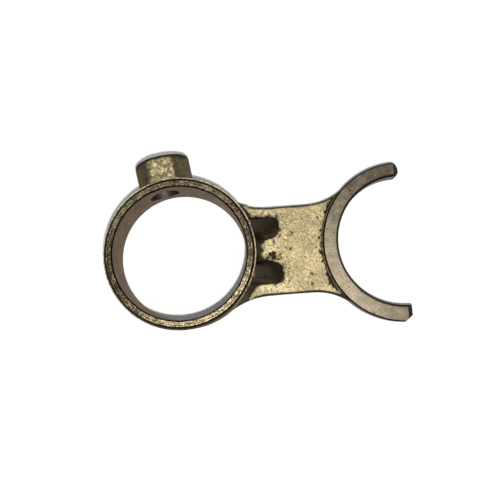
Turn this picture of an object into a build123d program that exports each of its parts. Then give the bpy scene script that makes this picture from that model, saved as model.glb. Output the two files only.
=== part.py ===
from build123d import *

import os
from math import cos, radians, sin, sqrt

# Gear shift fork for a drum-type gearbox, one brass casting, in millimetres.
# The collar slides on the shift drum. A guide pin sits in the radial lug and
# follows the drum's cam groove. The claw reaches into the groove of a sliding
# gear. The origin is on the collar's bore axis at its lower face, +Z is the
# bore axis and +X points along the web to the claw.

# Collar that slides on the drum
bore_radius = 17.0
collar_wall = 2.45
collar_height = 14.8
bore_chamfer = 0.35
land_width = 1.6
land_rise = 0.4
rim_chamfer = 0.3

# Radial lug and its guide pin hole
lug_angle = 98.8
lug_radius = 7.2
lug_reach = 26.0
lug_end_round = 1.1
lug_root_round = 1.2
pin_hole_angle = 102.2
pin_hole_radius = 3.95
pin_hole_chamfer = 0.4
pin_hole_sink_angle = 90.0

# Claw that rides in the gear's groove
claw_distance = 59.1
claw_bore_radius = 17.4
claw_width = 4.2
claw_thickness = 4.9
claw_lift = 0.3
claw_edge_chamfer = 0.3
claw_rim_chamfer = 0.35

# Prong ends, with a lead-in on both faces
prong_overrun = 0.75
prong_lead_in = 1.4
prong_lead_depth = 1.3

# Prong corners, as shares of the claw's width
outer_round_share = 0.48
inner_bevel_depth_share = 0.20
inner_bevel_width_share = 0.26
outer_bevel_depth_share = 0.60
outer_bevel_width_share = 0.40

# Web between collar and claw
web_half_width = 11.9
web_recess = 0.4
web_collar_sweep = 20.0
web_claw_sweep = 16.0
web_draft = 4.0
web_edge_round = 0.7
web_root_cove = 2.6

# The cast outline sits this far to one side of the machined arcs
core_shift = -0.3

# Gussets that carry the collar on the web
gusset_spacing = 11.5
gusset_width = 6.2
gusset_toe = 26.4
gusset_toe_round = 2.4
gusset_draft = 7.0
gusset_drop = 0.8
gusset_hollow = 1.0

# Sizes that follow from the values above
collar_radius = bore_radius + collar_wall
shoulder_height = collar_height - land_rise
mid_height = collar_height / 2
parting_height = claw_lift + claw_thickness / 2
web_half_thickness = claw_thickness / 2 - web_recess
web_top = parting_height + web_half_thickness
claw_top = claw_lift + claw_thickness
gusset_root = sqrt(collar_radius**2 - (gusset_spacing / 2) ** 2)
gusset_top = shoulder_height - gusset_drop
claw_outer_radius = claw_bore_radius + claw_width
web_seat_radius = claw_bore_radius + claw_width / 2
prong_end = claw_distance + prong_overrun


def radial_plane(angle, distance):
    """Plane square to a radius of the collar, at mid height, facing outward."""
    outward = Vector(cos(radians(angle)), sin(radians(angle)), 0)
    origin = outward * distance + Vector(0, 0, mid_height)
    return Plane(origin=origin, x_dir=(0, 0, 1), z_dir=outward)


# Collar blank, turned on both faces: a raised land beside the bore, then a
# shoulder with a chamfered rim
with BuildPart() as collar:
    with BuildSketch(Plane.XZ) as collar_section:
        with BuildLine():
            Polyline(
                (0, 0),
                (bore_radius + land_width, 0),
                (bore_radius + land_width + land_rise, land_rise),
                (collar_radius, land_rise),
                (collar_radius, shoulder_height),
                (bore_radius + land_width + land_rise, shoulder_height),
                (bore_radius + land_width, collar_height),
                (0, collar_height),
                close=True,
            )
        make_face()
        rim = collar_section.vertices().group_by(Axis.X)[-1]
        chamfer(rim, length=rim_chamfer)
    revolve(axis=Axis.Z)


# Lug, cast with a rounded root on the collar's cylinder, then skimmed on two
# sides where the collar's shoulders are turned
with BuildPart() as lug:
    with Locations((0, 0, mid_height)):
        Cylinder(radius=collar_radius, height=3 * collar_height)
    with BuildSketch(radial_plane(lug_angle, 0)):
        Circle(lug_radius)
    extrude(amount=lug_reach)
    lug_root = lug.edges(Select.NEW)
    lug_rim = lug.edges(Select.LAST).filter_by(GeomType.CIRCLE)
    fillet(lug_rim, radius=lug_end_round)
    fillet(lug_root, radius=lug_root_round)
    with Locations((0, 0, mid_height)):
        Cylinder(
            radius=2 * lug_reach,
            height=shoulder_height - land_rise - 2 * rim_chamfer,
            mode=Mode.INTERSECT,
        )


# Outline of web and claw together, seen along the bore, with sweeping curves
# into the collar and into the claw
with BuildSketch(Plane.XY.offset(parting_height)) as outline:
    with Locations((claw_distance / 2, core_shift)):
        Rectangle(claw_distance, 2 * web_half_width)
    with Locations((claw_distance, core_shift)):
        Circle(claw_outer_radius)
    Circle(collar_radius)
    root_corners = outline.vertices().filter_by(lambda corner: corner.X < claw_distance / 2)
    fillet(root_corners, radius=web_collar_sweep)
    claw_corners = outline.vertices().filter_by(lambda corner: corner.X > claw_distance / 2)
    fillet(claw_corners, radius=web_claw_sweep)


# Web: the upper half is drafted from the parting plane and rounded along its
# edge, the lower half mirrors it, and both end inside the claw's ring
with BuildPart() as web:
    extrude(outline.sketch, amount=web_half_thickness)
    walls = web.faces().filter_by(Plane.XY, reverse=True)
    draft(walls, Plane.XY.offset(parting_height), web_draft)
    upper_face = web.faces().sort_by(Axis.Z)[-1]
    fillet(upper_face.edges(), radius=web_edge_round)
    mirror(about=Plane.XY.offset(parting_height))
    with Locations((claw_distance, 0, parting_height)):
        Cylinder(radius=web_seat_radius, height=2 * claw_thickness, mode=Mode.SUBTRACT)
    with Locations((claw_distance - web_half_width, 0, parting_height)):
        Box(
            2 * claw_outer_radius,
            4 * claw_outer_radius,
            2 * claw_thickness,
            align=(Align.MIN, Align.CENTER, Align.CENTER),
            mode=Mode.SUBTRACT,
        )


def prong_corners(plan):
    """Corners on the prong ends: lower outer, lower inner, upper inner, upper outer."""
    return plan.vertices().group_by(Axis.X)[-1].sort_by(Axis.Y)


def bevel_corner(plan, index, width_share, depth_share):
    """Bevel one prong corner, its width measured along the prong's straight end."""
    corner = prong_corners(plan)[index]
    straight_end = plan.edges().filter_by(Axis.Y).sort_by_distance(corner)[0]
    chamfer(
        corner,
        length=width_share * claw_width,
        length2=depth_share * claw_width,
        reference=straight_end,
    )


# Claw blank: two prongs with unequal corners, as the photographed one has
with BuildPart() as claw:
    with BuildSketch(Plane.XY.offset(claw_lift)) as claw_plan:
        with Locations((claw_distance, core_shift)):
            Circle(claw_outer_radius)
        with Locations((claw_distance, 0)):
            Circle(claw_bore_radius, mode=Mode.SUBTRACT)
        with Locations((prong_end, 0)):
            Rectangle(
                2 * claw_outer_radius,
                4 * claw_outer_radius,
                align=(Align.MIN, Align.CENTER),
                mode=Mode.SUBTRACT,
            )
        bevel_corner(claw_plan, 0, outer_bevel_width_share, outer_bevel_depth_share)
        bevel_corner(claw_plan, 2, inner_bevel_width_share, inner_bevel_depth_share)
        fillet(prong_corners(claw_plan)[3], radius=outer_round_share * claw_width)
    extrude(amount=claw_thickness)
    inner_rims = claw.edges().filter_by(GeomType.CIRCLE).sort_by(SortBy.LENGTH)[-4:-2]
    chamfer(inner_rims, length=claw_edge_chamfer)
    outer_rims = claw.edges().filter_by(GeomType.CIRCLE).sort_by(SortBy.LENGTH)[-2:]
    chamfer(outer_rims, length=claw_rim_chamfer)
    with BuildSketch(Plane.XZ):
        for face_height, inward in ((claw_lift, 1), (claw_top, -1)):
            with BuildLine():
                Polyline(
                    (prong_end - prong_lead_in, face_height),
                    (prong_end, face_height + inward * prong_lead_depth),
                    (prong_end + prong_lead_in, face_height + inward * prong_lead_depth),
                    (prong_end + prong_lead_in, face_height),
                    close=True,
                )
            make_face()
    extrude(amount=2 * claw_outer_radius, both=True, mode=Mode.SUBTRACT)


# Gussets: two drafted ribs with hollow backs, from the web up to the shoulder
with BuildPart() as gussets:
    with BuildSketch(Plane.XY.offset(parting_height)) as gusset_plan:
        with Locations((0, core_shift)):
            with GridLocations(0, gusset_spacing, 1, 2):
                Rectangle(gusset_toe, gusset_width, align=(Align.MIN, Align.CENTER))
        toe_corners = gusset_plan.vertices().group_by(Axis.X)[-1]
        fillet(toe_corners, radius=gusset_toe_round)
    extrude(amount=collar_height, taper=gusset_draft)
    with BuildSketch(Plane.XZ):
        with BuildLine():
            back = SagittaArc((gusset_root, gusset_top), (gusset_toe, web_top), gusset_hollow)
            Polyline(
                back @ 1,
                (gusset_toe, parting_height),
                (0, parting_height),
                (0, gusset_top),
                back @ 0,
            )
        make_face()
    extrude(amount=collar_radius, both=True, mode=Mode.INTERSECT)


# Cove where the web's upper face meets the collar
with BuildPart() as cove:
    with BuildSketch(Plane.XZ):
        with BuildLine():
            cove_start = (collar_radius + web_root_cove, web_top)
            cove_end = (collar_radius, web_top + web_root_cove)
            RadiusArc(cove_start, cove_end, web_root_cove)
            Polyline(
                cove_end,
                (bore_radius, web_top + web_root_cove),
                (bore_radius, parting_height),
                (collar_radius + web_root_cove, parting_height),
                cove_start,
            )
        make_face()
    revolve(axis=Axis.Z)
    extrude(outline.sketch, amount=collar_height, mode=Mode.INTERSECT)


# The whole casting, then its bore and its pin hole
with BuildPart() as shift_fork:
    for feature in (collar, lug, web, claw, gussets, cove):
        add(feature.part)

    # Collar bore and its chamfers
    Hole(bore_radius)
    lands = shift_fork.faces().filter_by(Plane.XY).sort_by(Axis.Z)
    bore_rims = [land.edges().sort_by(SortBy.LENGTH)[0] for land in (lands[0], lands[-1])]
    chamfer(bore_rims, length=bore_chamfer)

    # Guide pin hole through the lug into the bore
    with Locations(radial_plane(pin_hole_angle, lug_reach)):
        CounterSinkHole(
            radius=pin_hole_radius,
            counter_sink_radius=pin_hole_radius + pin_hole_chamfer,
            depth=lug_reach,
            counter_sink_angle=pin_hole_sink_angle,
        )

shift_fork.part.label = "shift_fork"

os.makedirs("parts", exist_ok=True)
export_step(shift_fork.part, "parts/shift_fork.step")
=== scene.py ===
from math import cos, radians, sin

import bpy
import numpy as np
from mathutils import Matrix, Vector, noise


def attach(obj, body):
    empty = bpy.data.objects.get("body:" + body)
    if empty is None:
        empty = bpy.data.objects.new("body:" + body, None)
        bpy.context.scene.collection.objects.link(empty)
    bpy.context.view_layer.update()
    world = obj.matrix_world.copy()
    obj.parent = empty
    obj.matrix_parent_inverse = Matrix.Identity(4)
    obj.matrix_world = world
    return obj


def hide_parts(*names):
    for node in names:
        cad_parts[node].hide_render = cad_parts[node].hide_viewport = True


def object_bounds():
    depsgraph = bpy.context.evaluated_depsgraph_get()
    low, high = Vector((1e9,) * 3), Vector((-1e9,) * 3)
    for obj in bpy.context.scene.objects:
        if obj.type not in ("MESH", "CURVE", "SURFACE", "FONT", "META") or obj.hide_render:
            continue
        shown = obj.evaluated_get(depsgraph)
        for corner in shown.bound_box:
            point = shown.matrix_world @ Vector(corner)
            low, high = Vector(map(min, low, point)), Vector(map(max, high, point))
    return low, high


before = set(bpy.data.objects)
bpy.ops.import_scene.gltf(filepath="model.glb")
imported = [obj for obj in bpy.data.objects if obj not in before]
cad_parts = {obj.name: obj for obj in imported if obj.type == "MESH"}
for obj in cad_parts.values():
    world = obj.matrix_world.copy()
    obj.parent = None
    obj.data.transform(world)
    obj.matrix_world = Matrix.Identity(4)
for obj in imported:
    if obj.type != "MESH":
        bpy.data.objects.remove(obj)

cad_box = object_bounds()

# Metres in a millimetre; sizes and places below are in millimetres
MM = 0.001

# Camera of the photograph: where it stood, how it leaned and how it was turned
CAMERA_PLACE = Vector((16.54, -17.8, 178.1))
CAMERA_LEAN = radians(6.97)
CAMERA_TURN = radians(-4.39)
CAMERA_LENS = 46.8
CAMERA_SENSOR = 36.0

# Key light: a small lamp beside the lens that shines straight down, its power in watts,
# and how bright it makes white paper right below it
KEY_PLACE = Vector((21.5, -38.5, 205.0))
KEY_SIZE = 7.0
KEY_POWER = 0.375
KEY_LEVEL = 0.91

# Room: its soft light, and the white that is seen at its horizon and fades out between
# these two heights of the direction looked in
ROOM_COLOUR = (0.166, 0.173, 0.160)
HORIZON_COLOUR = (1.0, 1.0, 1.0)
HORIZON_FADE = (0.55, 0.20)

# Paper under the fork
PAPER_GREY = 0.95
PAPER_GLOW = 0.06
PAPER_HALF = 2000.0
PAPER_GAP = 0.02

# Collar, with the solid's sizes
BORE_RADIUS = 17.0
BORE_CHAMFER = 0.35
COLLAR_WALL = 2.45
COLLAR_HEIGHT = 14.8
LAND_WIDTH = 1.6
LAND_RISE = 0.4
RIM_CHAMFER = 0.3
COLLAR_RADIUS = BORE_RADIUS + COLLAR_WALL
LAND_RADIUS = BORE_RADIUS + LAND_WIDTH
CHAMFER_RADIUS = COLLAR_RADIUS - RIM_CHAMFER

# Lug, with the edges of its crest, where the painted shade on its sides stops, to either side of its
# middle, and pin hole
LUG_ANGLE = radians(98.8)
LUG_REACH = 26.0
CREST_RIGHT = 3.0
CREST_LEFT = -3.6
PIN_ANGLE = radians(102.2)
PIN_REACH = 4.4

# Claw and web
CORE_SHIFT = -0.3
CLAW_CENTRE_X = 59.1
CLAW_BORE_RADIUS = 17.4
CLAW_WIDTH = 4.2
CLAW_FLOOR = 0.3
CLAW_THICKNESS = 4.9
WEB_RECESS = 0.4
CLAW_OUTER_RADIUS = CLAW_BORE_RADIUS + CLAW_WIDTH
CLAW_TOP = CLAW_FLOOR + CLAW_THICKNESS
WEB_TOP = CLAW_TOP - WEB_RECESS

# Gussets, and the cove at their root
GUSSET_TOE = 26.4
GUSSETS_HALF_WIDTH = 9.6
COVE_RADIUS = 2.6

# Rounded outlines of the gussets on the web: place and radius of the broad root, then
# place and radius of the narrow toe
UPPER_TONGUE = ((19.3, 5.4), 4.0, (23.3, 6.7), 2.6)
LOWER_TONGUE = ((19.5, -5.3), 4.2, (24.0, -6.4), 2.5)
TONGUE_SLOPE = 0.45

# How often, and by what share of the way, the gussets' corners and roots are smoothed
SOFTENING_ROUNDS = 45
SOFTENING_STEP = 0.5

# Edges sharper than this don't shade smoothly
SHARP_ANGLE = radians(28)

# Surface zones, one material each
CAST, TURNED, MILLED, BORED, DARK_EDGE = range(5)

# Longest edges of the dense mesh
EDGE_ON_WEB = 0.35
EDGE_ON_LUG = 0.45
EDGE_IN_BORE = 1.4
EDGE_ELSEWHERE = 0.95

# The cast grain runs in short strokes in this direction, this much longer than wide
STROKE_TURN = radians(-50.0)
STROKE_STRETCH = 2.2

# Heights of the cast skin's lumps on smooth walls, what the flats add, and its waves
WALL_LUMPS = 0.012
FLAT_LUMPS = 0.038
SKIN_WAVES = 0.05

# Pits in the web's cast skin and in the claw's face: place, radius, depth. Each is
# reckoned out to this many of its radii
WEB_PITS = (
    (29.4, 4.3, 0.40, 0.26), (28.7, 0.0, 0.42, 0.30), (26.1, -2.2, 0.30, 0.20),
    (31.1, 9.4, 0.22, 0.16), (36.7, 7.9, 0.34, 0.24), (35.7, -0.2, 0.30, 0.20),
    (34.0, -7.1, 0.40, 0.26), (33.8, -10.0, 0.42, 0.24), (30.2, -5.1, 0.22, 0.14),
)
CLAW_PITS = ((46.2, 14.8, 0.22, 0.05), (46.8, -12.9, 0.26, 0.06), (40.3, 1.8, 0.16, 0.04))
PIT_REACH = 3

# Seam between the web and the claw's machined pad, and its two broader hollows: place
# and half length along Y, and added width
SEAM_WIDTH = 0.48
SEAM_SLOPE = 0.18
SEAM_DEPTH = 0.42
SEAM_HOLLOWS = ((-9.6, 1.9, 0.70), (11.2, 1.8, 0.55))

# Casting flaw beside the lower gusset, and the fleck that stands up in it, with half
# lengths along X and Y and the most that it may rise above the web
FLAW_PLACE = (23.3, -1.5)
FLAW_HALVES = (2.1, 1.3)
FLAW_DEPTH = 0.36
FLECK_PLACE = (23.4, -2.1)
FLECK_HALVES = (0.3, 0.5)
FLECK_HEIGHT = 0.30
FLECK_LIMIT = 0.20

# Painted highlights on the web beside the gussets: place, half lengths along X and Y, and turn in degrees
HIGHLIGHT_PATCHES = (
    (22.3, 10.3, 2.8, 0.7, -8.0),
    (23.4, -10.3, 3.4, 0.8, -6.0),
    (23.8, 0.8, 2.4, 1.8, 30.0),
)

# Painted shade on the turned land's left and right sides, and where the painted highlight on the rim
# fades
LAND_SHADE_PLACES = ((COLLAR_RADIUS, 4.0), (-COLLAR_RADIUS, -4.0))
DULL_RIM_PLACE = (3.0, -COLLAR_RADIUS)

# Colours of the cast metal, its painted shade on walls, gussets and lug, its painted highlights and
# glints, and the near black of its hollows and deepest painted shade
GOLD = (0.57, 0.465, 0.25)
DULL_GOLD = (0.40, 0.325, 0.185)
STAIN = (0.17, 0.13, 0.065)
BRIGHT_GRAIN = (0.84, 0.73, 0.47)
DARK_GRAIN = (0.19, 0.145, 0.075)
LUG_STAIN = (0.18, 0.14, 0.07)
LUG_GLINT = (0.86, 0.76, 0.48)
HIGHLIGHT_GOLD = (0.80, 0.71, 0.45)
DEEP_SHADE_COLOUR = (0.056, 0.045, 0.029)
LIGHT_SHADE_COLOUR = (0.096, 0.079, 0.050)
SHADE_FLECK = (0.19, 0.155, 0.095)
HOLLOW_AND_SHADE_BLACK = (0.011, 0.008, 0.005)
CAST_SHEEN = (0.72, 0.62, 0.46, 1.0)

# Colours of the turned collar ends, with painted shade on their slope and a painted highlight on their
# rim
OILY_LAND = (0.030, 0.023, 0.015)
WORN_LAND = (0.42, 0.34, 0.20)
LAND_SLOPE_SHADE = (0.013, 0.010, 0.006)
RIM_HIGHLIGHT = (0.72, 0.62, 0.43)

# Colours of the milled claw faces, with painted shade along their edges
DULL_MILLED = (0.175, 0.145, 0.102)
CLEAN_MILLED = (0.262, 0.216, 0.156)
MILLED_GRAIN = (0.090, 0.072, 0.050)
MILLED_SPECK = (0.040, 0.031, 0.021)
MILLED_EDGE_SHADE = (0.022, 0.017, 0.011)
MILLED_PIT = (0.020, 0.015, 0.010)

# Colours of the bored wall, and the near black painted shade of the dark edges
DARK_BORE = (0.118, 0.094, 0.075)
LIGHT_BORE = (0.164, 0.134, 0.110)
BORE_SHEEN = (0.64, 0.55, 0.47, 1.0)
EDGE_SHADE_BLACK = (0.010, 0.008, 0.005)
WORN_EDGE = (0.022, 0.017, 0.011)


def smoothstep(start, end, value):
    """0 at start and 1 at end, smooth between them and level beyond; start may be the larger."""
    t = np.clip((value - start) / (end - start), 0.0, 1.0)
    return t * t * (3.0 - 2.0 * t)


def noise_at(points, size, seed):
    """Smooth noise, from about -1 to 1, whose lumps are about size millimetres."""
    shift = Vector((seed, 2.3 * seed, -1.7 * seed))
    return np.array([noise.noise(Vector(p) / size + shift) for p in points])


def node_mesh(node):
    """Points in millimetres and triangles of a CAD node, with shared corners merged."""
    mesh = node.data
    points = np.empty(len(mesh.vertices) * 3, np.float64)
    mesh.vertices.foreach_get("co", points)
    points = points.reshape(-1, 3) / MM
    mesh.calc_loop_triangles()
    corners = np.empty(len(mesh.loop_triangles) * 3, np.int64)
    mesh.loop_triangles.foreach_get("vertices", corners)
    merge_grid = 1e-4
    keys = np.round(points / merge_grid).astype(np.int64)
    _, first, index = np.unique(keys, axis=0, return_index=True, return_inverse=True)
    triangles = index.reshape(-1)[corners].reshape(-1, 3)
    return points[first], triangles


def refine(points, triangles, wanted):
    """Halve each edge that is longer than wanted(middle points) says, until none is."""
    while True:
        edges, index = mesh_edges(triangles)
        start, end = points[edges[:, 0]], points[edges[:, 1]]
        middle = (start + end) / 2
        split = np.linalg.norm(end - start, axis=1) > wanted(middle)
        if not split.any():
            return points, triangles
        new_point = np.full(len(edges), -1)
        new_point[split] = len(points) + np.arange(split.sum())
        points = np.vstack([points, middle[split]])
        triangles = split_triangles(points, triangles, new_point[index])


def mesh_edges(triangles):
    """Edges as sorted pairs of points, and the three edges of each triangle."""
    sides = triangles[:, [0, 1, 1, 2, 2, 0]].reshape(-1, 2)
    edges, index = np.unique(np.sort(sides, axis=1), axis=0, return_inverse=True)
    return edges, index.reshape(-1, 3)


def split_triangles(points, triangles, middles):
    """Split each triangle at the middles of its sides; -1 marks a side that stays whole."""
    count = (middles >= 0).sum(axis=1)
    parts = [triangles[count == 0]]

    one = count == 1
    turn = np.argmax(middles[one] >= 0, axis=1)
    a, b, c = turned(triangles[one], turn)
    m = turned(middles[one], turn)[0]
    parts += [np.stack([a, m, c], 1), np.stack([m, b, c], 1)]

    two = count == 2
    turn = (np.argmin(middles[two] >= 0, axis=1) + 1) % 3
    a, b, c = turned(triangles[two], turn)
    m, n, _ = turned(middles[two], turn)
    parts.append(np.stack([m, b, n], 1))
    from_a = np.linalg.norm(points[a] - points[n], axis=1)
    from_c = np.linalg.norm(points[m] - points[c], axis=1)
    short = from_a < from_c
    parts += [np.stack([a, m, n], 1)[short], np.stack([a, n, c], 1)[short]]
    parts += [np.stack([a, m, c], 1)[~short], np.stack([m, n, c], 1)[~short]]

    three = count == 3
    a, b, c = triangles[three].T
    m, n, o = middles[three].T
    parts += [np.stack(t, 1) for t in ((a, m, o), (m, b, n), (o, n, c), (m, n, o))]
    return np.vstack(parts)


def turned(rows, turn):
    """Columns of three-column rows, with each row started at its own turn."""
    pick = (np.arange(3) + turn[:, None]) % 3
    return np.take_along_axis(rows, pick, axis=1).T


def cross_products(points, triangles):
    """Normal of each triangle, as long as twice its area."""
    a, b, c = (points[triangles[:, i]] for i in range(3))
    return np.cross(b - a, c - a)


def unit(vectors):
    """The same directions, one millimetre long."""
    return vectors / np.maximum(np.linalg.norm(vectors, axis=1), 1e-12)[:, None]


def vertex_normals(points, triangles):
    """Area-weighted normal at each point."""
    weighted = cross_products(points, triangles)
    normals = np.zeros_like(points)
    for i in range(3):
        np.add.at(normals, triangles[:, i], weighted)
    return unit(normals)


def edge_length_wanted(points):
    """Longest edge at each place: fine where the cast skin shows, coarser elsewhere."""
    x, y, z = points.T
    length = np.full(len(points), EDGE_ELSEWHERE)
    length[np.hypot(x, y) < BORE_RADIUS + 0.05] = EDGE_IN_BORE
    on_crest = (z > COLLAR_HEIGHT - 2.5) & (y > COLLAR_RADIUS)
    length[on_crest] = EDGE_ON_LUG
    on_top = (z > WEB_TOP - 0.8) & (x > COLLAR_RADIUS - 1.0)
    length[on_top & (claw_distance(points) > CLAW_OUTER_RADIUS - 0.1)] = EDGE_ON_WEB
    for pit_x, pit_y, radius, _ in CLAW_PITS:
        near = np.hypot(x - pit_x, y - pit_y) < PIT_REACH * radius
        length[on_top & near] = EDGE_ON_WEB
    return length


def claw_distance(points):
    """Distance from the axis of the claw's cast outline."""
    return np.hypot(points[:, 0] - CLAW_CENTRE_X, points[:, 1] - CORE_SHIFT)


def beside_collar(points):
    """Distance outward from the collar's wall; less than 0 inside it."""
    return np.hypot(points[:, 0], points[:, 1]) - COLLAR_RADIUS


def pin_distance(points):
    """Distance from the guide pin hole's axis."""
    outward = np.array([cos(PIN_ANGLE), sin(PIN_ANGLE), 0.0])
    from_axis = points - np.array([0.0, 0.0, COLLAR_HEIGHT / 2])
    along = from_axis @ outward
    away = np.linalg.norm(from_axis - along[:, None] * outward, axis=1)
    return np.where(along > 0.0, away, np.inf)


def face_zones(points, triangles):
    """Zone of each triangle, from where it lies on the solid and how it faces."""
    centres = points[triangles].mean(axis=1)
    x, y, z = centres.T
    radius = np.hypot(x, y)
    facing = np.abs(unit(cross_products(points, triangles))[:, 2])
    level = 0.95
    upright = 0.3
    touch = 0.03

    zones = np.full(len(triangles), CAST)
    end_depth = LAND_RISE + RIM_CHAMFER + touch
    on_end = (np.minimum(z, COLLAR_HEIGHT - z) < end_depth) & (facing > upright)
    zones[on_end & (radius < COLLAR_RADIUS + touch)] = TURNED
    zones[(radius < BORE_RADIUS + BORE_CHAMFER) & (facing < level)] = DARK_EDGE
    zones[(radius < BORE_RADIUS + touch) & (facing < upright)] = BORED
    zones[(radius > BORE_RADIUS + touch) & (pin_distance(centres) < PIN_REACH)] = BORED

    on_claw = claw_distance(centres) < CLAW_OUTER_RADIUS + touch
    machined = (facing > level) & ((z > CLAW_TOP - touch) | (z < CLAW_FLOOR + touch))
    zones[on_claw] = DARK_EDGE
    zones[on_claw & machined] = MILLED
    return zones


def zone_points(triangles, chosen, count):
    """True for each point that belongs to a chosen triangle."""
    marked = np.zeros(count, bool)
    marked[triangles[chosen].reshape(-1)] = True
    return marked


def soften(points, triangles, weight):
    """Move each point towards the mean of its neighbours, as far as its weight says."""
    edges, _ = mesh_edges(triangles)
    here, there = np.vstack([edges, edges[:, ::-1]]).T
    neighbours = np.bincount(here, minlength=len(points))
    for _ in range(SOFTENING_ROUNDS):
        total = [np.bincount(here, points[there, axis], len(points)) for axis in range(3)]
        mean = np.stack(total, 1) / neighbours[:, None]
        points = points + SOFTENING_STEP * weight[:, None] * (mean - points)
    return points


def root_weight(points, machined):
    """1 on the gussets and the cove at their root, where the casting is all soft curves."""
    x, y, z = points.T
    before_toes = smoothstep(GUSSET_TOE + 2.5, GUSSET_TOE + 1.0, x)
    sideways = np.abs(y - CORE_SHIFT)
    between_sides = smoothstep(GUSSETS_HALF_WIDTH + 1.2, GUSSETS_HALF_WIDTH, sideways)
    below_shoulder = smoothstep(COLLAR_HEIGHT - 1.2, COLLAR_HEIGHT - 2.4, z)
    above_web = z > WEB_TOP - 0.1
    outside = smoothstep(-0.1, 0.3, beside_collar(points))
    return before_toes * between_sides * (below_shoulder * above_web) * outside * ~machined


def tongue_gap(points):
    """How far each point lies outside the gussets' rounded outlines; less than 0 inside."""
    gaps = []
    for root, root_radius, toe, toe_radius in (UPPER_TONGUE, LOWER_TONGUE):
        axis = np.subtract(toe, root)
        share = np.clip((points[:, :2] - root) @ axis / (axis @ axis), 0.0, 1.0)
        away = np.linalg.norm(points[:, :2] - root - share[:, None] * axis, axis=1)
        gaps.append(away - root_radius - share * (toe_radius - root_radius))
    return np.minimum(*gaps)


def on_root(root):
    """True where the casting is softened at all."""
    return root > 0.05


def round_toes(points, root):
    """Lower the gussets' square toes to the web outside their rounded outlines."""
    inside = smoothstep(TONGUE_SLOPE, -TONGUE_SLOPE, tongue_gap(points))
    in_cove = smoothstep(COVE_RADIUS + 0.2, COVE_RADIUS - 1.2, beside_collar(points))
    kept = np.maximum(inside, in_cove)
    rise = np.maximum(points[:, 2] - WEB_TOP, 0.0) * on_root(root)
    lowered = points.copy()
    lowered[:, 2] -= rise * (1.0 - kept)
    return lowered


def round_sharp_edges(mesh, root):
    """Let the edges shade smoothly where the casting is softened."""
    pairs = np.empty(len(mesh.edges) * 2, np.int64)
    mesh.edges.foreach_get("vertices", pairs)
    sharp = np.empty(len(mesh.edges), bool)
    mesh.edges.foreach_get("use_edge_sharp", sharp)
    sharp &= root[pairs.reshape(-1, 2)].max(axis=1) < 0.2
    mesh.edges.foreach_set("use_edge_sharp", sharp)


def seam_gap(points):
    """0 to 1: how much the web's skin falls away beside the claw's machined pad."""
    y = points[:, 1]
    beside = claw_distance(points) - CLAW_OUTER_RADIUS
    ragged = noise_at(points, size=0.75, seed=31.0) + 0.5 * noise_at(points, size=2.2, seed=32.0)
    width = SEAM_WIDTH + np.maximum(ragged, -0.15)
    for place, half, added in SEAM_HOLLOWS:
        width += added * np.exp(-((y - place) / half) ** 2)
    return smoothstep(width + SEAM_SLOPE, width - SEAM_SLOPE, beside) * (beside > -0.01)


def pit_depth(points, pits):
    """Depth of a list of small ragged pits at each point."""
    depth = np.zeros(len(points))
    for x, y, radius, deepest in pits:
        distance = np.hypot(points[:, 0] - x, points[:, 1] - y)
        near = distance < PIT_REACH * radius
        ragged = 1.0 + 1.1 * noise_at(points[near], size=0.5, seed=x)
        ragged_radius = radius * np.maximum(ragged, 0.3)
        depth[near] += deepest * np.exp(-((distance[near] / ragged_radius) ** 2))
    return depth


def oval(points, place, halves):
    """0 at the place and 1 on an oval round it with these half lengths along X and Y."""
    along_x, along_y = ((points[:, :2] - place) / halves).T
    return along_x**2 + along_y**2


def flaw_depth(points):
    """A crumpled casting flaw beside the lower gusset, with torn edges and a raised fleck."""
    inside = 1.0 - oval(points, FLAW_PLACE, FLAW_HALVES)
    near = inside > -2.0
    torn = np.zeros(len(points))
    torn[near] = noise_at(points[near], size=1.3, seed=41.0)
    torn[near] += 0.5 * noise_at(points[near], size=0.5, seed=42.0)
    hollow = FLAW_DEPTH * smoothstep(0.20, 0.50, 0.5 * inside + torn)
    fleck = FLECK_HEIGHT * np.exp(-oval(points, FLECK_PLACE, FLECK_HALVES))
    return np.maximum(hollow - fleck, -FLECK_LIMIT)


def web_flat(points, normals):
    """True on the web's upper face."""
    x, _, z = points.T
    on_web = (x > COLLAR_RADIUS) & (z > WEB_TOP - 0.25) & (z < CLAW_TOP)
    return on_web & (normals[:, 2] > 0.9)


def sink_depth(points, flat, milled):
    """How far the web and the claw's upper face sink in at each point."""
    sink = np.zeros(len(points))
    sink[flat] = pit_depth(points[flat], WEB_PITS) + flaw_depth(points[flat])
    sink[flat] += SEAM_DEPTH * seam_gap(points[flat])
    on_claw = milled & (points[:, 2] > CLAW_TOP - 0.05)
    sink[on_claw] = pit_depth(points[on_claw], CLAW_PITS)
    return sink


def stroke_frame(points):
    """Points turned into the grain's direction, and shortened along it."""
    x, y, z = points.T
    along = x * cos(STROKE_TURN) + y * sin(STROKE_TURN)
    across = y * cos(STROKE_TURN) - x * sin(STROKE_TURN)
    return np.stack([along / STROKE_STRETCH, across, z], 1)


def cast_grain(points, normals, machined):
    """Height of the cast skin's grain: coarse on the flats, finer on the smooth walls."""
    flatness = smoothstep(0.75, 0.95, normals[:, 2])
    lumps = noise_at(stroke_frame(points), size=0.75, seed=11.0)
    lumps += 0.5 * noise_at(points, size=0.9, seed=12.0)
    waves = noise_at(points, size=4.0, seed=13.0)
    height = (WALL_LUMPS + FLAT_LUMPS * flatness) * lumps + SKIN_WAVES * waves
    return height * ~machined


def on_lug(points, margin):
    """True outside the collar by more than the margin, on the lug's side of it."""
    x, y, _ = points.T
    lug_side = (y > COLLAR_RADIUS / 2) & (x < COLLAR_RADIUS / 2)
    return (beside_collar(points) > margin) & lug_side


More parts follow.
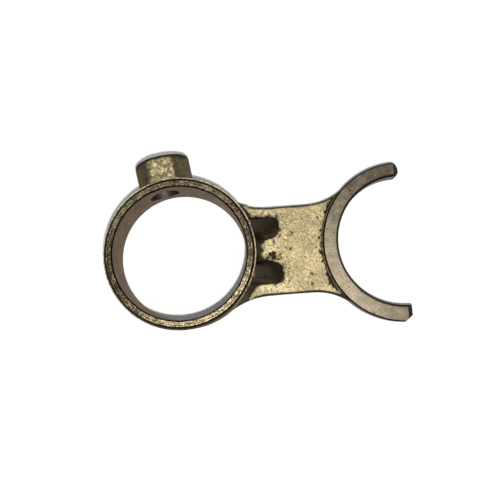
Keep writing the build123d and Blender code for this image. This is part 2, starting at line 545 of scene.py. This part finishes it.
def slope_shade(points, normals, root):
    """0 to 1: painted shade on steep walls, on the gussets and on the lug."""
    ragged = 0.10 * noise_at(points, size=1.1, seed=21.0)
    ragged += 0.06 * noise_at(points, size=0.5, seed=22.0)
    steep = smoothstep(0.975, 0.90, np.abs(normals[:, 2]) + (0.3 + 1.1 * root) * ragged)
    raised = smoothstep(TONGUE_SLOPE, -TONGUE_SLOPE, tongue_gap(points) + 4.0 * ragged)
    elsewhere = np.maximum(steep, raised * on_root(root))
    return np.where(on_lug(points, -0.01), lug_shade(points, ragged), elsewhere)


def lug_shade(points, ragged):
    """0 to 1: painted shade on the lug's sides, lower half and rounded end, a little less on its right
    side, leaving the crest of its upper half gold.
    """
    x, y, z = points.T
    across = x * sin(LUG_ANGLE) - y * cos(LUG_ANGLE)
    left_side = smoothstep(CREST_LEFT + 1.3, CREST_LEFT - 0.5, across + 4.0 * ragged)
    right_side = smoothstep(CREST_RIGHT - 0.1, CREST_RIGHT + 0.25, across + 1.2 * ragged)
    end = smoothstep(LUG_REACH - 1.1, LUG_REACH - 0.5, np.hypot(x, y))
    shade = np.maximum.reduce([left_side, 0.86 * right_side, end])
    shade[z < COLLAR_HEIGHT / 2] = 1.0
    return shade


def deepest_shade(points, normals, root):
    """0 to 1: the deepest painted shade, on the gussets, in the cove at their root and on the lug's sides
    and rounded end.
    """
    x, y, z = points.T
    ragged = 0.5 * noise_at(points, size=1.3, seed=51.0)
    beside = beside_collar(points)

    steep = smoothstep(0.85, 0.55, normals[:, 2])
    above_web = (x > COLLAR_RADIUS / 2) & (z > WEB_TOP - 0.1) & (beside > -0.02)
    in_tongues = smoothstep(0.3, -0.3, tongue_gap(points) + ragged) * above_web
    on_gussets = (0.48 + 0.40 * steep) * in_tongues
    in_cove = 0.40 * smoothstep(2.2, 1.2, beside + ragged) * on_root(root)

    lug_rim = 0.75 * smoothstep(LUG_REACH - 1.0, LUG_REACH - 0.5, np.hypot(x, y))
    lug_side = 0.60 * smoothstep(0.45, 0.15, normals[:, 2])
    lug = np.maximum(lug_rim, lug_side) * on_lug(points, 0.5)
    return np.maximum.reduce([on_gussets, in_cove, lug])


def web_wall(points, normals):
    """0 to 1: painted shade on the steep edge of the web."""
    on_side = (points[:, 0] > COLLAR_RADIUS - 2.0) & (claw_distance(points) > CLAW_OUTER_RADIUS)
    low = smoothstep(WEB_TOP, WEB_TOP - 0.3, points[:, 2])
    return 0.85 * on_side * low * smoothstep(0.85, 0.6, np.abs(normals[:, 2]))


def hollow_and_shade(points, normals, root, sink, milled):
    """0 to 1: darker in whatever is sunk, and painted shade on the gussets, in the cove, on the lug and
    on the web's edge.
    """
    in_claw_pits = smoothstep(0.01, 0.04, sink)
    in_hollows = 0.95 * smoothstep(0.06, 0.22, sink)
    sunk = np.where(milled, in_claw_pits, in_hollows)
    return np.maximum.reduce([sunk, deepest_shade(points, normals, root), web_wall(points, normals)])


def painted_highlight(points):
    """0 to 1: painted highlights on the web beside the gussets."""
    x, y, _ = points.T
    patches = np.zeros(len(points))
    for centre_x, centre_y, half_x, half_y, degrees in HIGHLIGHT_PATCHES:
        turn = radians(degrees)
        along = (x - centre_x) * cos(turn) + (y - centre_y) * sin(turn)
        across = (y - centre_y) * cos(turn) - (x - centre_x) * sin(turn)
        patches += np.exp(-((along / half_x) ** 4) - (across / half_y) ** 4)
    return np.clip(patches, 0.0, 1.0)


def add_mask(mesh, name, values):
    """Store one number per point for the materials."""
    mask = mesh.attributes.new(name, "FLOAT", "POINT")
    mask.data.foreach_set("value", values.astype(np.float32))


def build_fork():
    """The casting as one dense mesh: the CAD solid's surface with its cast skin added."""
    points, triangles = node_mesh(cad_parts["shift_fork"])
    points, triangles = refine(points, triangles, edge_length_wanted)
    zones = face_zones(points, triangles)
    machined = zone_points(triangles, zones != CAST, len(points))
    milled = ~zone_points(triangles, zones != MILLED, len(points))
    root = root_weight(points, machined)

    mesh = bpy.data.meshes.new("fork_casting")
    mesh.from_pydata(points * MM, [], triangles.tolist())
    mesh.polygons.foreach_set("use_smooth", np.ones(len(mesh.polygons), bool))
    mesh.polygons.foreach_set("material_index", zones.astype(np.int32))
    mesh.set_sharp_from_angle(angle=SHARP_ANGLE)
    round_sharp_edges(mesh, root)

    soft = soften(round_toes(points, root), triangles, root)
    normals = vertex_normals(soft, triangles)
    flat = web_flat(soft, normals) & ~machined
    sink = sink_depth(soft, flat, milled)
    skinned = soft + normals * cast_grain(soft, normals, machined)[:, None]
    skinned[:, 2] -= sink
    lowest, highest = (np.array(corner) / MM for corner in cad_box)
    skinned = np.clip(skinned, lowest, highest)
    mesh.vertices.foreach_set("co", (skinned * MM).reshape(-1))

    # Masks of painted shade, of darkening in hollows with the deepest painted shade, and of painted
    # highlights
    add_mask(mesh, "slope_shade", slope_shade(soft, normals, root))
    add_mask(mesh, "hollow_and_shade", hollow_and_shade(soft, normals, root, sink, milled))
    add_mask(mesh, "painted_highlight", painted_highlight(soft) * flat)

    for material in (cast_material, turned_material, milled_material, bored_material, edge_material):
        mesh.materials.append(material())
    piece = bpy.data.objects.new("fork_casting", mesh)
    bpy.context.scene.collection.objects.link(piece)
    return piece


def new_material(name):
    """Metal material with its node tree, its shader and the object's own coordinates."""
    material = bpy.data.materials.new(name)
    material.use_nodes = True
    tree = material.node_tree
    shader = tree.nodes["Principled BSDF"]
    shader.inputs["Metallic"].default_value = 1.0
    place = add_node(tree, "TexCoord").outputs["Object"]
    return material, tree, shader, place


def add_node(tree, kind, inputs=None, **settings):
    """New shader node, with its settings and with its inputs linked or set."""
    node = tree.nodes.new("ShaderNode" + kind)
    for name, value in settings.items():
        setattr(node, name, value)
    for name, value in (inputs or {}).items():
        link_or_set(tree, node.inputs[name], value)
    return node


def link_or_set(tree, socket, value):
    """Link another node's output to a socket, or set the socket to a value."""
    if isinstance(value, bpy.types.NodeSocket):
        tree.links.new(value, socket)
    else:
        socket.default_value = value


def noise_node(tree, place, size, detail=2.0, distortion=0.0):
    """Noise from 0 to 1 whose lumps are about size millimetres."""
    inputs = {"Vector": place, "Scale": 1.0 / (size * MM), "Detail": detail, "Distortion": distortion}
    return add_node(tree, "TexNoise", inputs).outputs["Fac"]


def remap(tree, value, low, high, start=0.0, end=1.0):
    """Start where the value is low, end where it is high, and smooth between them."""
    inputs = {"Value": value, "From Min": low, "From Max": high, "To Min": start, "To Max": end}
    return add_node(tree, "MapRange", inputs, interpolation_type="SMOOTHSTEP").outputs["Result"]


def blend(tree, share, first, second):
    """Colour between first and second."""
    colours = [c if isinstance(c, bpy.types.NodeSocket) else (*c, 1.0) for c in (first, second)]
    inputs = {"Fac": share, "Color1": colours[0], "Color2": colours[1]}
    return add_node(tree, "MixRGB", inputs).outputs["Color"]


def calculate(tree, operation, first, second):
    """One Math node; its inputs are numbers or sockets."""
    node = add_node(tree, "Math", operation=operation)
    link_or_set(tree, node.inputs[0], first)
    link_or_set(tree, node.inputs[1], second)
    return node.outputs[0]


def distance_node(tree, place, x, y=0.0):
    """Distance from the upright axis at this place, in millimetres."""
    flat = add_node(tree, "VectorMath", operation="MULTIPLY")
    tree.links.new(place, flat.inputs[0])
    flat.inputs[1].default_value = (1.0 / MM, 1.0 / MM, 0.0)
    away = add_node(tree, "VectorMath", operation="DISTANCE")
    tree.links.new(flat.outputs["Vector"], away.inputs[0])
    away.inputs[1].default_value = (x, y, 0.0)
    return away.outputs["Value"]


def mask_node(tree, name):
    """One of the masks stored on the mesh."""
    return add_node(tree, "Attribute", attribute_name=name).outputs["Fac"]


def add_bump(tree, shader, height, distance):
    """Bump of this many millimetres."""
    bump = add_node(tree, "Bump", {"Height": height, "Strength": 1.0, "Distance": distance * MM})
    tree.links.new(bump.outputs["Normal"], shader.inputs["Normal"])


def cast_material():
    """As-cast brass: grainy gold on the flats, with painted shade on walls and roots, painted highlights
    beside the gussets, painted glints on the lug and near black in hollows.
    """
    material, tree, shader, place = new_material("brass_as_cast")
    strokes = add_node(tree, "Mapping", {
        "Vector": place,
        "Rotation": (0.0, 0.0, STROKE_TURN),
        "Scale": (STROKE_STRETCH, 1.0, 1.0),
    }, vector_type="TEXTURE").outputs["Vector"]
    grain = noise_node(tree, strokes, size=0.34, detail=3.0, distortion=0.3)
    patches = noise_node(tree, place, size=3.5, detail=3.0)
    flecks = noise_node(tree, place, size=0.8, detail=4.0, distortion=0.6)
    dark = mask_node(tree, "slope_shade")
    darkened = mask_node(tree, "hollow_and_shade")

    gold = blend(tree, remap(tree, patches, 0.35, 0.65), DULL_GOLD, GOLD)
    gold = blend(tree, remap(tree, flecks, 0.38, 0.27, end=0.5), gold, STAIN)
    gold = blend(tree, remap(tree, grain, 0.53, 0.68, end=0.8), gold, BRIGHT_GRAIN)
    gold = blend(tree, remap(tree, grain, 0.46, 0.32, end=0.75), gold, DARK_GRAIN)
    gold = mottle_lug(tree, place, gold)
    # Painted highlights on the web beside the gussets
    shine = remap(tree, flecks, 0.42, 0.60, end=0.9)
    highlighted = calculate(tree, "MULTIPLY", mask_node(tree, "painted_highlight"), shine)
    gold = blend(tree, highlighted, gold, HIGHLIGHT_GOLD)

    # Painted shade: a darkened copy of the brass on steep walls, gussets and the lug's sides
    shade = blend(tree, remap(tree, patches, 0.3, 0.7), DEEP_SHADE_COLOUR, LIGHT_SHADE_COLOUR)
    shade = blend(tree, remap(tree, flecks, 0.60, 0.75, end=0.35), shade, SHADE_FLECK)
    colour = blend(tree, dark, gold, shade)
    # Near black in hollows and in the deepest painted shade
    tree.links.new(blend(tree, darkened, colour, HOLLOW_AND_SHADE_BLACK), shader.inputs["Base Color"])

    shader.inputs["Specular Tint"].default_value = CAST_SHEEN
    shader.inputs["Specular IOR Level"].default_value = 0.05
    tree.links.new(remap(tree, darkened, 0.1, 0.6, 1.0, 0.1), shader.inputs["Metallic"])
    tree.links.new(remap(tree, dark, 0.0, 1.0, 0.60, 0.50), shader.inputs["Roughness"])
    fade = remap(tree, dark, 0.0, 1.0, 1.0, 0.20)
    add_bump(tree, shader, calculate(tree, "MULTIPLY", grain, fade), 0.24)
    return material


def mottle_lug(tree, place, gold):
    """Stains and painted glints, as bright flecks, on gold that lies high up, as it does on the lug's
    crest.
    """
    height = add_node(tree, "SeparateXYZ", {"Vector": place}).outputs["Z"]
    high_up = remap(tree, height, 9.0 * MM, 12.0 * MM)
    mottle = noise_node(tree, place, size=0.8, detail=3.0)
    stained = calculate(tree, "MULTIPLY", high_up, remap(tree, mottle, 0.52, 0.40, end=0.75))
    gold = blend(tree, stained, gold, LUG_STAIN)
    # Painted glints on the lug's crest
    glinting = calculate(tree, "MULTIPLY", high_up, remap(tree, mottle, 0.58, 0.68, end=0.8))
    return blend(tree, glinting, gold, LUG_GLINT)


def turned_material():
    """Turned collar ends: dark with old oil, with bright specks and rings where they are worn; painted
    shade on the slope and on the land's left and right sides, and a painted highlight on the rim.
    """
    material, tree, shader, place = new_material("brass_turned")
    radius = distance_node(tree, place, x=0.0)
    rings = ring_streaks(tree, place, radius)
    grain = noise_node(tree, place, size=0.22, detail=3.0)
    worn = noise_node(tree, place, size=2.5, detail=2.0)
    groove_pitch = 0.30
    across_grooves = calculate(tree, "MULTIPLY", radius, 1.0 / groove_pitch)
    grooves = add_node(tree, "TexNoise", {"W": across_grooves, "Scale": 1.0, "Detail": 1.0},
                       noise_dimensions="1D").outputs["Fac"]

    bright = calculate(tree, "MULTIPLY", rings, 0.27)
    for texture, share in ((grain, 0.47), (grooves, 0.26)):
        bright = calculate(tree, "ADD", bright, calculate(tree, "MULTIPLY", texture, share))
    bright = calculate(tree, "ADD", bright, remap(tree, worn, 0.3, 0.7, -0.03, 0.03))
    # Painted shade on the land's left and right sides
    for x, y in LAND_SHADE_PLACES:
        land_shade = remap(tree, distance_node(tree, place, x, y), 16.0, 5.0, end=0.05)
        bright = calculate(tree, "SUBTRACT", bright, land_shade)
    colour = blend(tree, remap(tree, bright, 0.45, 0.62), OILY_LAND, WORN_LAND)

    # Painted shade on the slope between the land and the rim
    outside_land = remap(tree, radius, LAND_RADIUS - 0.12, LAND_RADIUS)
    on_collar = remap(tree, radius, COLLAR_RADIUS + 0.3, COLLAR_RADIUS + 0.2)
    slope = calculate(tree, "MULTIPLY", outside_land, on_collar)
    colour = blend(tree, slope, colour, LAND_SLOPE_SHADE)

    # Painted highlight along the rim's chamfer, fading towards the bottom
    on_rim = remap(tree, radius, CHAMFER_RADIUS - 0.04, CHAMFER_RADIUS + 0.04)
    rim = calculate(tree, "MULTIPLY", on_rim, remap(tree, rings, 0.34, 0.52, 0.20, 1.0))
    from_dull_place = distance_node(tree, place, *DULL_RIM_PLACE)
    rim = calculate(tree, "MULTIPLY", rim, remap(tree, from_dull_place, 8.0, 24.0, 0.15, 1.0))
    colour = blend(tree, rim, colour, RIM_HIGHLIGHT)
    tree.links.new(colour, shader.inputs["Base Color"])
    shader.inputs["Roughness"].default_value = 0.46
    add_bump(tree, shader, bright, 0.10)
    return material


def ring_streaks(tree, place, radius):
    """Noise from 0 to 1 in thin streaks that run round the collar."""
    split = add_node(tree, "SeparateXYZ", {"Vector": place}).outputs
    streak_width = 0.26
    streak_length = 0.7
    streaks = add_node(tree, "CombineXYZ", {
        "X": calculate(tree, "MULTIPLY", radius, 1.0 / streak_width),
        "Y": calculate(tree, "MULTIPLY", split["X"], 1.0 / (streak_length * MM)),
        "Z": calculate(tree, "MULTIPLY", split["Y"], 1.0 / (streak_length * MM)),
    }).outputs["Vector"]
    return add_node(tree, "TexNoise", {"Vector": streaks, "Scale": 1.0, "Detail": 3.0}).outputs["Fac"]


def milled_material():
    """Milled claw faces: flat brown-grey metal with a fine grain, a few dark specks, darker pits and
    painted shade along the edges.
    """
    material, tree, shader, place = new_material("brass_milled")
    grain = noise_node(tree, place, size=0.26, detail=3.0)
    patches = noise_node(tree, place, size=2.4, detail=4.0)
    specks = noise_node(tree, place, size=0.55, detail=2.0)
    colour = blend(tree, remap(tree, patches, 0.35, 0.65), DULL_MILLED, CLEAN_MILLED)
    colour = blend(tree, remap(tree, grain, 0.52, 0.36, end=0.85), colour, MILLED_GRAIN)
    colour = blend(tree, remap(tree, specks, 0.34, 0.24), colour, MILLED_SPECK)

    # Painted shade along the inner and outer edges of the faces
    from_bore_axis = distance_node(tree, place, CLAW_CENTRE_X)
    from_outline_axis = distance_node(tree, place, CLAW_CENTRE_X, CORE_SHIFT)
    inner = remap(tree, from_bore_axis, CLAW_BORE_RADIUS + 0.80, CLAW_BORE_RADIUS + 0.45)
    outer = remap(tree, from_outline_axis, CLAW_OUTER_RADIUS - 0.50, CLAW_OUTER_RADIUS - 0.36)
    colour = blend(tree, calculate(tree, "ADD", inner, outer), colour, MILLED_EDGE_SHADE)
    colour = blend(tree, mask_node(tree, "hollow_and_shade"), colour, MILLED_PIT)
    tree.links.new(colour, shader.inputs["Base Color"])
    tree.links.new(remap(tree, patches, 0.3, 0.7, 0.39, 0.44), shader.inputs["Roughness"])
    add_bump(tree, shader, grain, 0.05)
    return material


def bored_material():
    """Bored walls of the collar and the pin hole: dull brown, with faint lines round the bore."""
    material, tree, shader, place = new_material("brass_bored")
    flattened = add_node(tree, "Mapping", {"Vector": place, "Scale": (1.0, 1.0, 9.0)}).outputs["Vector"]
    lines = noise_node(tree, flattened, size=2.2, detail=3.0)
    patches = noise_node(tree, place, size=3.0, detail=3.0)
    colour = blend(tree, remap(tree, patches, 0.3, 0.7), DARK_BORE, LIGHT_BORE)
    tree.links.new(colour, shader.inputs["Base Color"])
    shader.inputs["Specular Tint"].default_value = BORE_SHEEN
    shader.inputs["Roughness"].default_value = 0.5
    add_bump(tree, shader, lines, 0.03)
    return material


def edge_material():
    """The bore's chamfers and the claw's edges: near black painted shade, worn in places."""
    material, tree, shader, place = new_material("brass_dark_edge")
    worn = noise_node(tree, place, size=0.9, detail=3.0)
    # Painted shade: near black on edges that turn away
    colour = blend(tree, remap(tree, worn, 0.52, 0.72), EDGE_SHADE_BLACK, WORN_EDGE)
    tree.links.new(colour, shader.inputs["Base Color"])
    shader.inputs["Roughness"].default_value = 0.45
    add_bump(tree, shader, worn, 0.02)
    return material


def add_camera():
    """The photograph's camera."""
    data = bpy.data.cameras.new("camera")
    data.lens = CAMERA_LENS
    data.sensor_width = CAMERA_SENSOR
    camera = bpy.data.objects.new("camera", data)
    camera.location = CAMERA_PLACE * MM
    camera.rotation_euler = (CAMERA_LEAN, 0.0, CAMERA_TURN)
    bpy.context.scene.collection.objects.link(camera)
    bpy.context.scene.camera = camera


def add_key():
    """A small round lamp by the lens."""
    data = bpy.data.lights.new("key", "AREA")
    data.shape = "DISK"
    data.size = KEY_SIZE * MM
    data.energy = KEY_POWER
    key = bpy.data.objects.new("key", data)
    key.location = KEY_PLACE * MM
    bpy.context.scene.collection.objects.link(key)


def add_room():
    """A grey room that lights the fork softly, with a white horizon where rays see it."""
    world = bpy.data.worlds.new("room")
    bpy.context.scene.world = world
    world.use_nodes = True
    tree = world.node_tree
    direction = add_node(tree, "TexCoord").outputs["Generated"]
    height = add_node(tree, "SeparateXYZ", {"Vector": direction}).outputs["Z"]
    horizon = calculate(tree, "MULTIPLY", remap(tree, height, *HORIZON_FADE), seen_rays(tree))
    colour = blend(tree, horizon, ROOM_COLOUR, HORIZON_COLOUR)
    tree.links.new(colour, tree.nodes["Background"].inputs["Color"])


def seen_rays(tree):
    """1 for rays that see the background, straight or in metal or glass; 0 for the rest."""
    path = add_node(tree, "LightPath").outputs
    seen = calculate(tree, "ADD", path["Is Camera Ray"], path["Is Glossy Ray"])
    return calculate(tree, "ADD", seen, path["Is Transmission Ray"])


def add_floor():
    """A sheet of white paper that takes the shadow."""
    mesh = bpy.data.meshes.new("floor")
    half = PAPER_HALF * MM
    corners = [(-half, -half, 0), (half, -half, 0), (half, half, 0), (-half, half, 0)]
    mesh.from_pydata(corners, [], [(0, 1, 2, 3)])
    mesh.materials.append(paper_material())
    floor = bpy.data.objects.new("floor", mesh)
    floor.location.z = cad_box[0].z - PAPER_GAP * MM
    bpy.context.scene.collection.objects.link(floor)


def paper_material():
    """White paper; what the lamp lacks further out is made up for where rays see it."""
    material = bpy.data.materials.new("paper")
    material.use_nodes = True
    tree = material.node_tree
    shader = tree.nodes["Principled BSDF"]
    shader.inputs["Base Color"].default_value = (PAPER_GREY, PAPER_GREY, PAPER_GREY, 1.0)
    shader.inputs["Roughness"].default_value = 1.0
    shader.inputs["Specular IOR Level"].default_value = 0.0
    shader.inputs["Emission Color"].default_value = (1.0, 1.0, 1.0, 1.0)

    # A small lamp that shines straight down fades with the fourth power of the slant's cosine
    away = add_node(tree, "VectorMath", operation="DISTANCE")
    tree.links.new(add_node(tree, "NewGeometry").outputs["Position"], away.inputs[0])
    away.inputs[1].default_value = (KEY_PLACE.x * MM, KEY_PLACE.y * MM, 0.0)
    slant = calculate(tree, "DIVIDE", away.outputs["Value"], KEY_PLACE.z * MM)
    spread = calculate(tree, "ADD", calculate(tree, "MULTIPLY", slant, slant), 1.0)
    unlit = calculate(tree, "SUBTRACT", 1.0, calculate(tree, "POWER", spread, -2.0))
    missing = calculate(tree, "MULTIPLY", unlit, PAPER_GREY * KEY_LEVEL)
    glow = calculate(tree, "ADD", missing, PAPER_GLOW)
    tree.links.new(calculate(tree, "MULTIPLY", seen_rays(tree), glow), shader.inputs["Emission Strength"])
    return material


fork = build_fork()
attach(fork, "root")
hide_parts("shift_fork")
add_camera()
add_key()
add_room()
add_floor()
bpy.context.scene.view_settings.view_transform = "Standard"
